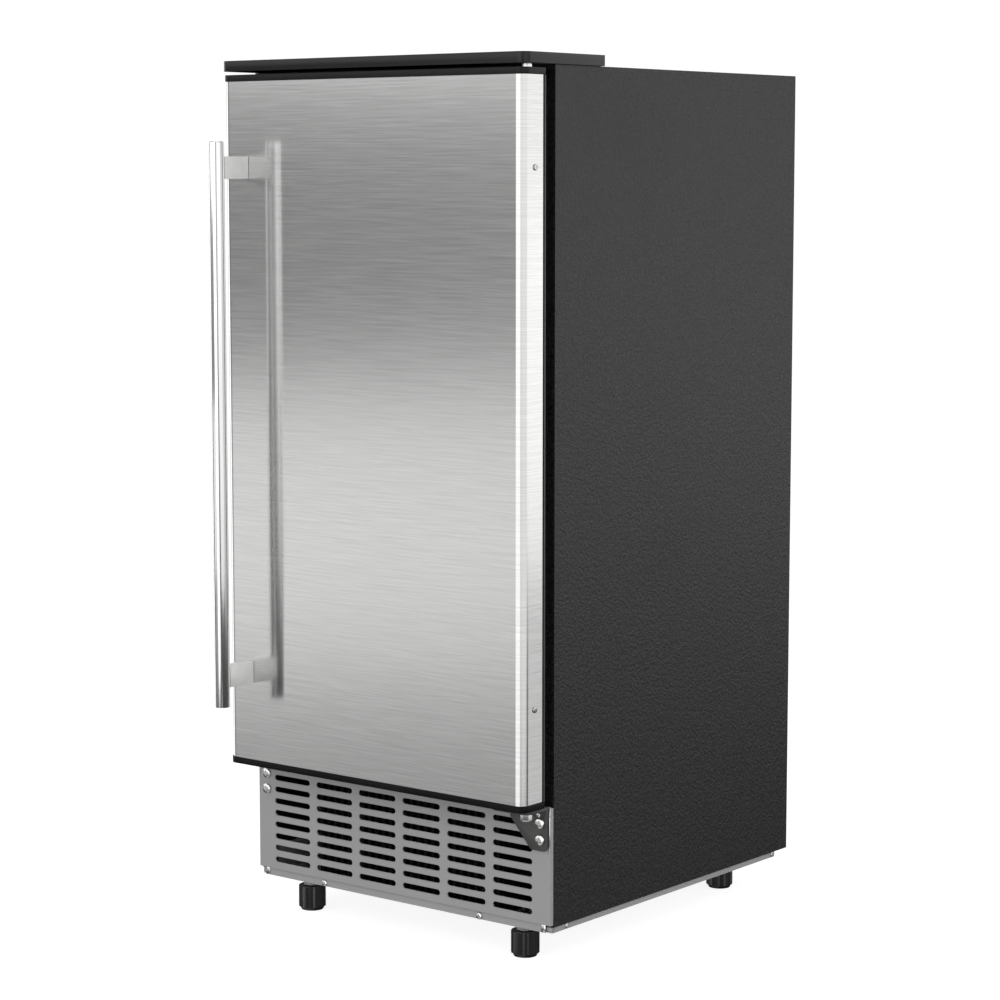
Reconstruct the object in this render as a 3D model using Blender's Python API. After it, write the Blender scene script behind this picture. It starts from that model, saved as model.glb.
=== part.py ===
"""Undercounter ice maker: cabinet, hinged door, ice-making works and cooling works.

Metres, +Z up. The origin is on the floor at the centre of the overall footprint.
The door faces -Y and its hinge is on the +X side. Run: blender --background --python part.py
"""

import math

import bmesh
import bpy
from mathutils import Matrix, Vector

# ---- driving dimensions ----
GAP = 0.0003                    # clearance between touching pieces
SHEET = 0.0010                  # folded sheet metal

CABINET_WIDTH = 0.3750
CABINET_DEPTH = 0.4040
CABINET_BOTTOM = 0.0393
CABINET_TOP = 0.8445
OVERALL_HEIGHT = 0.8550

CAP_HALF_WIDTH = 0.1897
CAP_DEPTH = 0.1216              # from the door's front
CAP_WALL = 0.0035
DOOR_HALF_WIDTH = 0.1882        # over the end trims
DOOR_DEPTH = 0.0476             # door front to cabinet front
DOOR_CORNER = 0.0090            # radius of the two front corners
DOOR_REAR = 0.0144              # door rear face to cabinet front
DOOR_BOTTOM = 0.1570
DOOR_TOP = 0.8413
TRIM_HEIGHT = 0.0062
SKIN_SETBACK = 0.0013           # skin sides stand in from the trims

HANDLE_X = -0.1581
HANDLE_REACH = 0.0942           # handle front to cabinet front
HANDLE_RADIUS = 0.0075
HANDLE_BOTTOM = 0.2224
HANDLE_TOP = 0.7765
POST_HEIGHTS = {"lower": 0.2525, "upper": 0.7514}

FITTING_REACH = 0.0158          # rear fittings stand out of the back panel
HINGE_X = 0.1745
HINGE_SETBACK = 0.0255          # hinge axis to cabinet front
PIN_RADIUS = 0.0040

FOOT_X = 0.138
FOOT_RADIUS = 0.0138
FOOT_HEIGHT = 0.0248
STUD_TOP = 0.0480
TRAY_BOTTOM = 0.0335

WALL = 0.0025                   # moulded plastic walls
CAVITY_HALF = 0.152
CAVITY_BOTTOM = 0.190
CAVITY_TOP = 0.808
STEP_HEIGHT = 0.395             # the bin's back wall steps back above this
BIN_DEPTH = 0.215
CAVITY_DEPTH = 0.350
BIN_DRAIN_RADIUS = 0.0070

# ---- places that follow from them ----
HALF_WIDTH = CABINET_WIDTH / 2
OVERALL_DEPTH = HANDLE_REACH + CABINET_DEPTH + FITTING_REACH
FRONT = HANDLE_REACH - OVERALL_DEPTH / 2        # y of the cabinet's front edge
BACK = FRONT + CABINET_DEPTH
DOOR_FRONT = FRONT - DOOR_DEPTH
DOOR_BACK = FRONT - DOOR_REAR
HINGE_Y = FRONT - HINGE_SETBACK
HANDLE_Y = FRONT - HANDLE_REACH + HANDLE_RADIUS
FLANGE_BACK = FRONT - GAP                       # liner flange lies on the cabinet's front edge
FLANGE_FRONT = FRONT - 0.0020
GRILLE_FRONT = FRONT - 0.0047
TRAY_TOP = TRAY_BOTTOM + 0.0013
BIN_DRAIN = (0.120, FRONT + 0.190)
FOOT_YS = {"front": FRONT + 0.020, "rear": FRONT + 0.352}

COLOURS = {                     # name: (red, green, blue, roughness, metallic)
    "textured_black": (0.035, 0.035, 0.037, 0.55, 0.0),
    "black_plastic": (0.028, 0.028, 0.030, 0.45, 0.0),
    "brushed_steel": (0.62, 0.62, 0.62, 0.28, 1.0),
    "grey_steel": (0.32, 0.32, 0.32, 0.42, 0.8),
    "bright_steel": (0.80, 0.80, 0.80, 0.20, 1.0),
    "dark_bracket": (0.08, 0.08, 0.08, 0.45, 0.6),
    "liner_white": (0.82, 0.83, 0.84, 0.35, 0.0),
    "curtain_white": (0.88, 0.90, 0.92, 0.30, 0.0),
    "foam": (0.80, 0.74, 0.55, 0.90, 0.0),
    "rubber": (0.03, 0.03, 0.03, 0.75, 0.0),
    "copper": (0.72, 0.38, 0.24, 0.32, 1.0),
    "aluminium": (0.70, 0.70, 0.71, 0.38, 1.0),
    "display": (0.02, 0.03, 0.05, 0.08, 0.0),
    "board_green": (0.03, 0.20, 0.08, 0.50, 0.0),
}


# ---- modelling helpers ----
def clear_scene():
    for obj in list(bpy.data.objects):
        bpy.data.objects.remove(obj)


def material(name):
    found = bpy.data.materials.get(name)
    if found:
        return found
    made = bpy.data.materials.new(name)
    made.use_nodes = True
    shader = made.node_tree.nodes["Principled BSDF"]
    red, green, blue, roughness, metallic = COLOURS[name]
    shader.inputs["Base Color"].default_value = (red, green, blue, 1)
    shader.inputs["Roughness"].default_value = roughness
    shader.inputs["Metallic"].default_value = metallic
    return made


def pivot(name, place):
    """An empty on a joint's axis, which carries the pieces that move about it."""
    empty = bpy.data.objects.new(name, None)
    empty.location = place
    bpy.context.scene.collection.objects.link(empty)
    return empty


def finish(bm, name, colour, carrier=None):
    """Makes the object from a closed mesh drawn in world places, carried by an empty if one is given."""
    bmesh.ops.recalc_face_normals(bm, faces=bm.faces)
    if carrier:
        bmesh.ops.translate(bm, verts=bm.verts, vec=-carrier.location)
    mesh = bpy.data.meshes.new(name)
    bm.to_mesh(mesh)
    bm.free()
    mesh.shade_smooth()
    mesh.set_sharp_from_angle(angle=math.radians(35))
    if colour:
        mesh.materials.append(material(colour))
    obj = bpy.data.objects.new(name, mesh)
    obj.parent = carrier
    bpy.context.scene.collection.objects.link(obj)
    return obj


def helper(bm, name):
    """A cutter or an addition for a Boolean, left out of renders."""
    obj = finish(bm, name, None)
    obj.hide_render = True
    obj.display_type = "WIRE"
    return obj


def boolean(obj, bm, operation):
    tool = helper(bm, f"{obj.name}_{operation.lower()}_{len(obj.modifiers)}")
    modifier = obj.modifiers.new(operation.title(), "BOOLEAN")
    modifier.operation = operation
    modifier.object = tool
    return obj


def cut(obj, bm):
    return boolean(obj, bm, "DIFFERENCE")


def add(obj, bm):
    return boolean(obj, bm, "UNION")


def block(bm, x, y, z):
    """A box between two values on each axis."""
    size = Matrix.Diagonal((x[1] - x[0], y[1] - y[0], z[1] - z[0], 1))
    centre = Matrix.Translation(((x[0] + x[1]) / 2, (y[0] + y[1]) / 2, (z[0] + z[1]) / 2))
    bmesh.ops.create_cube(bm, size=1, matrix=centre @ size)
    return bm


def new_block(x, y, z):
    return block(bmesh.new(), x, y, z)


def prism(bm, outline, axis, span):
    """An outline extruded along an axis. Its points are (y, z) for X, (x, z) for Y and (x, y) for Z."""
    places = {
        "X": lambda a, b, c: (c, a, b),
        "Y": lambda a, b, c: (a, c, b),
        "Z": lambda a, b, c: (a, b, c),
    }
    corners = [bm.verts.new(places[axis](a, b, span[0])) for a, b in outline]
    face = bm.faces.new(corners)
    raised = bmesh.ops.extrude_face_region(bm, geom=[face])["geom"]
    moved = [item for item in raised if isinstance(item, bmesh.types.BMVert)]
    shift = {"X": (1, 0, 0), "Y": (0, 1, 0), "Z": (0, 0, 1)}[axis]
    bmesh.ops.translate(bm, verts=moved, vec=Vector(shift) * (span[1] - span[0]))
    return bm


def new_prism(outline, axis, span):
    return prism(bmesh.new(), outline, axis, span)


def arc(centre, radius, start, stop, steps):
    """Points on an arc, with its angles in degrees."""
    angles = [math.radians(start + (stop - start) * i / steps) for i in range(steps + 1)]
    return [(centre[0] + radius * math.cos(a), centre[1] + radius * math.sin(a)) for a in angles]


def circle(centre, radius, steps=24):
    return arc(centre, radius, 0, 360 * (steps - 1) / steps, steps - 1)


def hexagon(centre, across_flats):
    return circle(centre, across_flats / math.sqrt(3), 6)


def rounded(x, y, radii, steps=5):
    """A rectangle with a radius for each corner: low-low, high-low, high-high, low-high."""
    corners = ((x[0], y[0], 1, 1, 180), (x[1], y[0], -1, 1, 270),
               (x[1], y[1], -1, -1, 0), (x[0], y[1], 1, -1, 90))
    outline = []
    for (cx, cy, sx, sy, start), radius in zip(corners, radii):
        centre = (cx + sx * radius, cy + sy * radius)
        outline += arc(centre, radius, start, start + 90, steps)
    return outline


def slot(centre, length, width, steps=4):
    """A slot outline with round ends, along the first axis."""
    half = (length - width) / 2
    right = arc((centre[0] + half, centre[1]), width / 2, -90, 90, steps)
    left = arc((centre[0] - half, centre[1]), width / 2, 90, 270, steps)
    return right + left


def turned(bm, profile, centre, axis="Z", steps=24):
    """A round piece from (radius, height) points, which start and end on the axis."""
    along = {"X": Vector((1, 0, 0)), "Y": Vector((0, 1, 0)), "Z": Vector((0, 0, 1))}[axis]
    across = Vector((0, 0, 1)) if axis == "X" else Vector((1, 0, 0))
    origin = Vector(centre)
    points = [bm.verts.new(origin + across * r + along * h) for r, h in profile]
    edges = [bm.edges.new(pair) for pair in zip(points, points[1:])]
    bmesh.ops.spin(bm, geom=points + edges, cent=origin, axis=along, angle=2 * math.pi,
                   steps=steps, use_merge=True)
    bmesh.ops.remove_doubles(bm, verts=bm.verts, dist=1e-6)
    return bm


def rod(bm, radius, centre, span, axis="Z", steps=24):
    """A plain cylinder along an axis, between two distances from its centre point."""
    profile = [(0, span[0]), (radius, span[0]), (radius, span[1]), (0, span[1])]
    return turned(bm, profile, centre, axis, steps)


def ring(inner, outer, centre, span, steps=24):
    """A plain ring about a vertical axis."""
    bm = bmesh.new()
    section = [(inner, span[0]), (outer, span[0]), (outer, span[1]), (inner, span[1])]
    points = [bm.verts.new((centre[0] + r, centre[1], h)) for r, h in section]
    edges = [bm.edges.new((points[i], points[(i + 1) % 4])) for i in range(4)]
    bmesh.ops.spin(bm, geom=points + edges, cent=(centre[0], centre[1], 0), axis=(0, 0, 1),
                   angle=2 * math.pi, steps=steps, use_merge=True)
    bmesh.ops.remove_doubles(bm, verts=bm.verts, dist=1e-6)
    return bm


def pipe(name, colour, points, radius, sides=2):
    """A bent tube with filled ends, which follows a list of points with rounded corners."""
    curve = bpy.data.curves.new(name, "CURVE")
    curve.dimensions = "3D"
    curve.bevel_depth = radius
    curve.bevel_resolution = sides
    curve.use_fill_caps = True
    path = rounded_path(points, 3 * radius)
    spline = curve.splines.new("POLY")
    spline.points.add(len(path) - 1)
    for point, place in zip(spline.points, path):
        point.co = (*place, 1)
    curve.materials.append(material(colour))
    obj = bpy.data.objects.new(name, curve)
    bpy.context.scene.collection.objects.link(obj)
    return obj


def rounded_path(points, radius, steps=4):
    """The points with each inner corner replaced by a bend."""
    places = [Vector(p) for p in points]
    path = [places[0]]
    for before, corner, after in zip(places, places[1:], places[2:]):
        reach = min(radius, (corner - before).length * 0.45, (after - corner).length * 0.45)
        start = corner + (before - corner).normalized() * reach
        stop = corner + (after - corner).normalized() * reach
        for i in range(steps + 1):
            t = i / steps
            path.append(start * (1 - t) ** 2 + corner * 2 * t * (1 - t) + stop * t * t)
    path.append(places[-1])
    return path


# ---- cabinet ----
FRONT_LIP = 0.020               # the wrapper's front edges fold inwards by this much
FLANGE_HALF = 0.1740
FLANGE_HEIGHTS = (0.1585, 0.8300)


def cabinet():
    side, top, low = HALF_WIDTH, CABINET_TOP, CABINET_BOTTOM
    folded = [(-side, low), (-side, top), (side, top), (side, low), (side - SHEET, low),
              (side - SHEET, top - SHEET), (-side + SHEET, top - SHEET), (-side + SHEET, low)]
    wrapper = finish(new_prism(folded, "Y", (FRONT, BACK)), "cabinet_wrapper", "textured_black")
    lip = FRONT_LIP
    lips = bmesh.new()
    for x in ((-side + SHEET / 2, -side + lip), (side - lip, side - SHEET / 2)):
        block(lips, x, (FRONT, FRONT + SHEET), (low, top - lip))
    add(wrapper, lips)
    add(wrapper, new_block((-side + SHEET / 2, side - SHEET / 2), (FRONT, FRONT + SHEET),
                           (top - lip - SHEET, top - SHEET / 2)))


def back_panel():
    half = HALF_WIDTH - SHEET - GAP
    panel = finish(new_block((-half, half), (BACK - SHEET, BACK),
                             (CABINET_BOTTOM, CABINET_TOP - SHEET - GAP)),
                   "back_panel", "grey_steel")
    vents = bmesh.new()
    for x in (-0.055, 0.055):
        for row in range(9):
            outline = slot((x, 0.150 + 0.014 * row), 0.090, 0.006)
            prism(vents, outline, "Y", (BACK - 0.01, BACK + 0.01))
    cut(panel, vents)
    holes = bmesh.new()
    for (x, z), radius in ((WATER_INLET, 0.0140), (DRAIN_OUTLET, 0.0105), (CORD_INLET, 0.0095)):
        rod(holes, radius, (x, BACK, z), (-0.01, 0.01), "Y")
    cut(panel, holes)


def base_tray():
    half, lip_half, depth, thick = HALF_WIDTH - 0.0013, 0.175, 0.383, 0.0013
    plate = [(-half, FRONT), (-lip_half, FRONT), (-lip_half, FRONT - 0.0025),
             (lip_half, FRONT - 0.0025), (lip_half, FRONT), (half, FRONT),
             (half, FRONT + depth), (-half, FRONT + depth)]
    tray = finish(new_prism(plate, "Z", (TRAY_BOTTOM, TRAY_BOTTOM + thick)),
                  "base_tray", "grey_steel")
    folds = bmesh.new()
    for side in (-1, 1):
        x = sorted((side * half, side * (half - thick)))
        block(folds, x, (FRONT + 0.0015, FRONT + depth), (TRAY_BOTTOM + thick / 2, 0.060))
    block(folds, (-lip_half, lip_half), (FRONT - 0.0025, FRONT - 0.0025 + thick),
          (TRAY_BOTTOM + thick / 2, 0.0410))
    add(tray, folds)
    nuts, holes = bmesh.new(), bmesh.new()
    for x in (-FOOT_X, FOOT_X):
        for y in FOOT_YS.values():
            prism(nuts, hexagon((x, y), 0.0150), "Z", (FOOT_HEIGHT + 0.0008, TRAY_BOTTOM + 0.0005))
            rod(holes, 0.0043, (x, y, TRAY_BOTTOM), (-0.02, 0.01), steps=16)
    add(tray, nuts)
    cut(tray, holes)


GRILLE_BOTTOM = 0.0417
GRILLE_TOP = 0.1558
SLOT_LENGTH, SLOT_WIDTH = 0.0480, 0.0058
SLOT_ROWS, SLOT_COLUMNS = 8, 6
SLOT_TOP_ROW = 0.1367
SLOT_PITCH_X, SLOT_PITCH_Z = 0.05668, 0.0121
SCREW_X = 0.1760
SCREW_HEIGHTS = {"upper": 0.1400, "lower": 0.1240}


def front_grille():
    half, thick = HALF_WIDTH - 0.0003, 0.0012
    grille = finish(new_block((-half, half), (GRILLE_FRONT, GRILLE_FRONT + thick),
                              (GRILLE_BOTTOM, GRILLE_TOP)), "front_grille", "grey_steel")
    returns = bmesh.new()
    for side in (-1, 1):
        x = sorted((side * half, side * (half - thick)))
        block(returns, x, (GRILLE_FRONT + thick / 2, FLANGE_BACK), (GRILLE_BOTTOM, GRILLE_TOP - thick))
    add(grille, returns)
    slots = bmesh.new()
    for column in range(SLOT_COLUMNS):
        x = (column - (SLOT_COLUMNS - 1) / 2) * SLOT_PITCH_X
        for row in range(SLOT_ROWS):
            outline = slot((x, SLOT_TOP_ROW - row * SLOT_PITCH_Z), SLOT_LENGTH, SLOT_WIDTH)
            prism(slots, outline, "Y", (GRILLE_FRONT - 0.01, FRONT))
    for z in SCREW_HEIGHTS.values():
        rod(slots, 0.0023, (-SCREW_X, GRILLE_FRONT, z), (-0.01, 0.003), "Y", 12)
    cut(grille, slots)


def cavity_outline(wall):
    """The ice compartment's side view as (y, z), grown by a wall's thickness and open at the front."""
    y0, low, top = FLANGE_FRONT - 0.01, CAVITY_BOTTOM - wall, CAVITY_TOP + wall
    return [(y0, low), (FRONT + BIN_DEPTH + wall, low), (FRONT + BIN_DEPTH + wall, STEP_HEIGHT - wall),
            (FRONT + CAVITY_DEPTH + wall, STEP_HEIGHT - wall), (FRONT + CAVITY_DEPTH + wall, top),
            (y0, top)]


def liner_and_foam():
    outer = [(max(y, FLANGE_FRONT), z) for y, z in cavity_outline(WALL)]
    half = CAVITY_HALF + WALL
    liner = finish(new_prism(outer, "X", (-half, half)), "inner_liner", "liner_white")
    add(liner, new_block((-FLANGE_HALF, FLANGE_HALF), (FLANGE_FRONT, FLANGE_BACK), FLANGE_HEIGHTS))
    cut(liner, new_prism(cavity_outline(0), "X", (-CAVITY_HALF, CAVITY_HALF)))
    cut(liner, rod(bmesh.new(), BIN_DRAIN_RADIUS + GAP, (*BIN_DRAIN, CAVITY_BOTTOM), (-0.01, 0.01)))

    inset = SHEET + GAP
    low, step_y, step_z = 0.1580, FRONT + 0.252, 0.365
    shape = [(FRONT + inset, low), (step_y, low), (step_y, step_z), (BACK - inset, step_z),
             (BACK - inset, CABINET_TOP - inset), (FRONT + inset, CABINET_TOP - inset)]
    foam = finish(new_prism(shape, "X", (-HALF_WIDTH + inset, HALF_WIDTH - inset)),
                  "insulation_foam", "foam")
    clear = half + GAP
    cut(foam, new_prism(cavity_outline(WALL + GAP), "X", (-clear, clear)))
    cut(foam, rod(bmesh.new(), BIN_DRAIN_RADIUS + GAP, (*BIN_DRAIN, CAVITY_BOTTOM), (-0.05, 0.01)))


def top_cap():
    x, y = (-CAP_HALF_WIDTH, CAP_HALF_WIDTH), (DOOR_FRONT, DOOR_FRONT + CAP_DEPTH)
    cap = finish(new_prism(rounded(x, y, (DOOR_CORNER, DOOR_CORNER, 0.002, 0.002)), "Z",
                           (CABINET_TOP + GAP, OVERALL_HEIGHT)), "top_cap", "black_plastic")
    inner_x = (x[0] + CAP_WALL, x[1] - CAP_WALL)
    inner_y = (y[0] + CAP_WALL, y[1] - CAP_WALL)
    inner_corner = DOOR_CORNER - CAP_WALL
    cut(cap, new_prism(rounded(inner_x, inner_y, (inner_corner, inner_corner, 0.001, 0.001)), "Z",
                       (CABINET_TOP - 0.01, OVERALL_HEIGHT - WALL)))


# ---- hinges ----
BRACKET_FRONT = FRONT - 0.0080
BRACKET_BACK = GRILLE_FRONT - GAP
FLANGE_LOW, FLANGE_HIGH = 0.1527, 0.1562
BRACKET_SCREW_X = 0.1778
NUT_WIDTH = 0.0134


def lower_hinge():
    plate = [(0.1659, 0.1133), (0.1820, 0.1133), (0.1850, 0.1163), (0.1850, FLANGE_HIGH),
             (0.1415, FLANGE_HIGH), (0.1415, 0.1420)]
    bracket = finish(new_prism(plate, "Y", (BRACKET_FRONT, BRACKET_BACK)),
                     "lower_hinge_bracket", "dark_bracket")
    shelf = rounded((0.1415, 0.1850), (HINGE_Y - 0.0105, BRACKET_BACK - 0.001), (0.003, 0.010, 0.0005, 0.0005))
    add(bracket, new_prism(shelf, "Z", (FLANGE_LOW, FLANGE_HIGH)))
    cut(bracket, rod(bmesh.new(), PIN_RADIUS + GAP, (HINGE_X, HINGE_Y, FLANGE_LOW), (-0.01, 0.01)))
    holes = bmesh.new()
    for z in SCREW_HEIGHTS.values():
        rod(holes, 0.0026, (BRACKET_SCREW_X, BRACKET_FRONT, z), (-0.01, 0.01), "Y", 12)
    cut(bracket, holes)

    pin = finish(rod(bmesh.new(), PIN_RADIUS, (HINGE_X, HINGE_Y, 0), (FLANGE_LOW - 0.002, 0.1685)),
                 "lower_hinge_pin", "bright_steel")
    add(pin, new_prism(hexagon((HINGE_X, HINGE_Y), NUT_WIDTH), "Z", (0.1456, FLANGE_LOW - GAP)))


def upper_hinge():
    low, high = CABINET_TOP + GAP, CABINET_TOP + 0.0033
    outline = rounded((0.140, 0.1835), (HINGE_Y - 0.013, FRONT + 0.060), (0.004, 0.009, 0.002, 0.002))
    plate = finish(new_prism(outline, "Z", (low, high)), "upper_hinge_plate", "dark_bracket")
    cut(plate, rod(bmesh.new(), PIN_RADIUS + GAP, (HINGE_X, HINGE_Y, low), (-0.01, 0.01)))
    collar, shank = 0.0048, PIN_RADIUS
    profile = [(0, 0.8298), (shank, 0.8298), (shank, 0.8418), (collar, 0.8418), (collar, low - GAP),
               (shank, low - GAP), (shank, high + GAP), (0.0065, high + GAP), (0.0065, 0.8512),
               (0, 0.8512)]
    finish(turned(bmesh.new(), profile, (HINGE_X, HINGE_Y, 0)), "upper_hinge_pin", "bright_steel")


def screw(name, centre, axis, out, head=0.0045, shank=0.0020, length=0.008):
    """A dome-headed screw whose head seats at its centre point and faces out = +1 or -1 along the axis."""
    dome = [(0, 0.0024), (0.55 * head, 0.0021), (0.88 * head, 0.0012), (head, GAP)]
    profile = dome + [(shank, GAP), (shank, -length), (0, -length)]
    flipped = [(r, out * h) for r, h in profile]
    return finish(turned(bmesh.new(), flipped, centre, axis, 16), name, "bright_steel")


def screws():
    for word, z in SCREW_HEIGHTS.items():
        screw(f"bracket_screw_{word}", (BRACKET_SCREW_X, BRACKET_FRONT, z), "Y", -1, shank=0.0022, length=0.0030)
        screw(f"grille_screw_{word}", (-SCREW_X, GRILLE_FRONT, z), "Y", -1, length=0.0042)


# ---- door ----
def door_section(half, front, back, corner, thick, lip):
    """The folded skin from above: a front with rounded corners, two sides and two rear lips."""
    outer = [(-half + lip, back), (-half, back)]
    outer += arc((-half + corner, front + corner), corner, 180, 270, 6)
    outer += arc((half - corner, front + corner), corner, 270, 360, 6)
    outer += [(half, back), (half - lip, back)]
    inside = [(half - lip, back - thick), (half - thick, back - thick)]
    inside += arc((half - corner, front + corner), corner - thick, 360, 270, 6)
    inside += arc((-half + corner, front + corner), corner - thick, 270, 180, 6)
    inside += [(-half + thick, back - thick), (-half + lip, back - thick)]
    return outer + inside


def door(carrier):
    half, skin_half = DOOR_HALF_WIDTH, DOOR_HALF_WIDTH - SKIN_SETBACK
    low, high = DOOR_BOTTOM + TRIM_HEIGHT, DOOR_TOP - TRIM_HEIGHT
    skin_front, skin_back = DOOR_FRONT + 0.0007, DOOR_BACK - 0.0032
    section = door_section(skin_half, skin_front, skin_back, DOOR_CORNER - 0.0007, SHEET, 0.010)
    finish(new_prism(section, "Z", (low + GAP, high - GAP)), "door_skin", "brushed_steel", carrier)

    inner = SHEET + GAP
    x = (-skin_half + inner, skin_half - inner)
    core_corner = DOOR_CORNER - inner
    core = rounded(x, (skin_front + inner, skin_back - inner), (core_corner, core_corner, 0.001, 0.001))
    core = finish(new_prism(core, "Z", (0.171, 0.8275)), "door_foam", "foam", carrier)
    pan_half, pan_heights, pan_front = 0.1460, (0.200, 0.798), FRONT - 0.0050
    fill = GAP + 0.0015
    add(core, new_block((-pan_half + fill, pan_half - fill), (DOOR_BACK - 0.012, pan_front - fill),
                        (pan_heights[0] + fill, pan_heights[1] - fill)))

    liner = finish(new_block((-half + 0.0005, half - 0.0005), (DOOR_BACK - 0.0018, DOOR_BACK),
                             (low + GAP, high - GAP)), "door_liner", "black_plastic", carrier)
    add(liner, new_block((-pan_half, pan_half), (DOOR_BACK - 0.0008, pan_front), pan_heights))
    wall = fill - GAP
    cut(liner, new_block((-pan_half + wall, pan_half - wall), (DOOR_BACK - 0.02, pan_front - wall),
                         (pan_heights[0] + wall, pan_heights[1] - wall)))

    outside = new_block((-0.1735, 0.1735), (DOOR_BACK + GAP, FLANGE_FRONT - GAP), (0.172, 0.826))
    gasket = finish(outside, "door_gasket", "rubber", carrier)
    cut(gasket, new_block((-0.1575, 0.1575), (FRONT - 0.03, FRONT + 0.01), (0.188, 0.810)))

    outline = rounded((-half, half), (DOOR_FRONT, DOOR_BACK), (DOOR_CORNER, DOOR_CORNER, 0.0015, 0.0015), 6)
    ends = {"bottom": (DOOR_BOTTOM, low, (0.1573, 0.1688)), "top": (high, DOOR_TOP, (0.8298, 0.8410))}
    for word, (z0, z1, bush_span) in ends.items():
        trim = finish(new_prism(outline, "Z", (z0, z1)), f"door_{word}_trim", "black_plastic", carrier)
        cut(trim, rod(bmesh.new(), 0.0068, (HINGE_X, HINGE_Y, z0), (-0.02, 0.02)))
        bush = ring(PIN_RADIUS + GAP, 0.0065, (HINGE_X, HINGE_Y), bush_span)
        finish(bush, f"door_{word}_bush", "curtain_white", carrier)


def handle(carrier):
    span = (HANDLE_BOTTOM, HANDLE_TOP)
    bar = rod(bmesh.new(), HANDLE_RADIUS, (HANDLE_X, HANDLE_Y, 0), span, steps=32)
    finish(bar, "handle_bar", "bright_steel", carrier)
    for word, z in POST_HEIGHTS.items():
        block_y = (HANDLE_Y + 0.0040, DOOR_FRONT + 0.0004)
        post = finish(new_block((HANDLE_X - 0.005, HANDLE_X + 0.005), block_y, (z - 0.0108, z + 0.0108)),
                      f"handle_post_{word}", "bright_steel", carrier)
        seat = rod(bmesh.new(), HANDLE_RADIUS + GAP, (HANDLE_X, HANDLE_Y, z), (-0.02, 0.02), steps=32)
        cut(post, seat)


# ---- feet ----
def feet():
    for end, y in FOOT_YS.items():
        for side, x in (("left", -FOOT_X), ("right", FOOT_X)):
            carrier = pivot(f"foot_{end}_{side}_axis", (x, y, 0))
            foot(f"foot_{end}_{side}", x, y, carrier)


def foot(name, x, y, carrier):
    ribs, groove = 20, 0.0009
    outline = []
    for i in range(2 * ribs):
        radius = FOOT_RADIUS - groove * (i % 2)
        angle = math.pi * i / ribs
        outline.append((x + radius * math.cos(angle), y + radius * math.sin(angle)))
    knob = finish(new_prism(outline, "Z", (0.0030, FOOT_HEIGHT)), name, "black_plastic", carrier)
    sole = [(0, 0), (0.0112, 0), (0.0126, 0.0036), (0, 0.0036)]
    add(knob, turned(bmesh.new(), sole, (x, y, 0)))
    add(knob, rod(bmesh.new(), 0.0040, (x, y, 0), (FOOT_HEIGHT - 0.003, STUD_TOP), steps=16))


# ---- ice-making works, inside the cavity ----
GRID_X = (-0.112, 0.084)
GRID_Z = (0.500, 0.752)
GRID_Y = (FRONT + 0.262, FRONT + 0.284)
GRID_CELLS = (7, 9)
CURTAIN_Z = 0.780
CURTAIN_Y = FRONT + 0.234
EAR_FRONT = CURTAIN_Y - 0.008
SPRAY_Y, SPRAY_Z = FRONT + 0.273, 0.766
PUMP_X, PUMP_Y = 0.124, FRONT + 0.277


def evaporator():
    plate = finish(new_block(GRID_X, GRID_Y, GRID_Z), "evaporator_grid", "aluminium")
    columns, rows = GRID_CELLS
    pitch_x = (GRID_X[1] - GRID_X[0]) / columns
    pitch_z = (GRID_Z[1] - GRID_Z[0]) / rows
    wall = 0.0020
    pockets = bmesh.new()
    for column in range(columns):
        for row in range(rows):
            x, z = GRID_X[0] + column * pitch_x, GRID_Z[0] + row * pitch_z
            block(pockets, (x + wall, x + pitch_x - wall), (GRID_Y[0] - 0.01, GRID_Y[1] - wall),
                  (z + wall, z + pitch_z - wall))
    cut(plate, pockets)

    passes, turn_x, y = 6, (GRID_X[0] + 0.020, GRID_X[1] - 0.020), GRID_Y[1] + 0.0060
    points = []
    for i in range(passes):
        z = GRID_Z[0] + 0.022 + i * (GRID_Z[1] - GRID_Z[0] - 0.044) / (passes - 1)
        ends = turn_x if i % 2 == 0 else turn_x[::-1]
        points += [(ends[0], y, z), (ends[1], y, z)]
    pipe("evaporator_coil", "copper", points, 0.0045)

    back = FRONT + CAVITY_DEPTH - GAP
    cheek = [(FRONT + 0.247, 0.478), (back, 0.478), (back, 0.800), (FRONT + 0.247, 0.800),
             (EAR_FRONT, CURTAIN_Z + 0.010), (EAR_FRONT, CURTAIN_Z - 0.010), (FRONT + 0.247, 0.748)]
    left = (GRID_X[0] - 0.006, GRID_X[0] - GAP)
    right = (GRID_X[1] + GAP, GRID_X[1] + 0.006)
    frame = finish(new_prism(cheek, "X", left), "evaporator_frame", "liner_white")
    add(frame, new_prism(cheek, "X", right))
    add(frame, new_block((left[0] + 0.002, right[1] - 0.002), (back - 0.003, back), (0.480, 0.798)))
    cut(frame, rod(bmesh.new(), 0.0092, (GRID_X[1], SPRAY_Y, SPRAY_Z), (-0.01, 0.02), "X"))
    cut(frame, rod(bmesh.new(), 0.0039, (0, CURTAIN_Y, CURTAIN_Z), (-0.20, 0.20), "X", 16))
    spray = rod(bmesh.new(), 0.0088, (0, SPRAY_Y, SPRAY_Z), (GRID_X[0] + 0.006, GRID_X[1] + 0.012), "X")
    finish(spray, "water_spray_tube", "curtain_white")


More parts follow.
